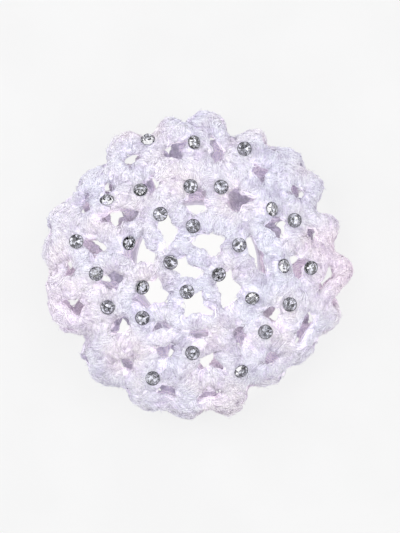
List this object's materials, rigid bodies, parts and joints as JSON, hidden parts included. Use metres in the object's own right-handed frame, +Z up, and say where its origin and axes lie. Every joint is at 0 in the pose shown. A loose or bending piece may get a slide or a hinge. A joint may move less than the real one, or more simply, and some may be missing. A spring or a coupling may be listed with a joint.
{
  "type": "crocheted hair snood",
  "caption": "Round crocheted net that covers a bun of hair: open puffy strands, scalloped edge turned under, elastic mouth and flat-backed cut crystals.",
  "frame": {"origin": "on the floor, under the middle of the bag as it lies on its mouth", "axes": "+Z up through the crown, mouth facing -Z; +Y is the side shown upwards in the picture, +X the side shown at the right"},
  "size_m": [0.103, 0.102, 0.0251],
  "materials": {
    "yarn": "matte",
    "elastic": "matte",
    "crystal": "polished"
  },
  "bodies": {
    "root": {"crochet_net": "yarn", "rim_elastic": "elastic", "crystal_01": "crystal", "crystal_02": "crystal", "crystal_03": "crystal", "crystal_04": "crystal", "crystal_05": "crystal", "crystal_06": "crystal", "crystal_07": "crystal", "crystal_08": "crystal", "crystal_09": "crystal", "crystal_10": "crystal", "crystal_11": "crystal", "crystal_12": "crystal", "crystal_13": "crystal", "crystal_14": "crystal", "crystal_15": "crystal", "crystal_16": "crystal", "crystal_17": "crystal", "crystal_18": "crystal", "crystal_19": "crystal", "crystal_20": "crystal", "crystal_21": "crystal", "crystal_22": "crystal", "crystal_23": "crystal", "crystal_24": "crystal", "crystal_25": "crystal", "crystal_26": "crystal", "crystal_27": "crystal", "crystal_28": "crystal", "crystal_29": "crystal"}
  },
  "joints": []
}
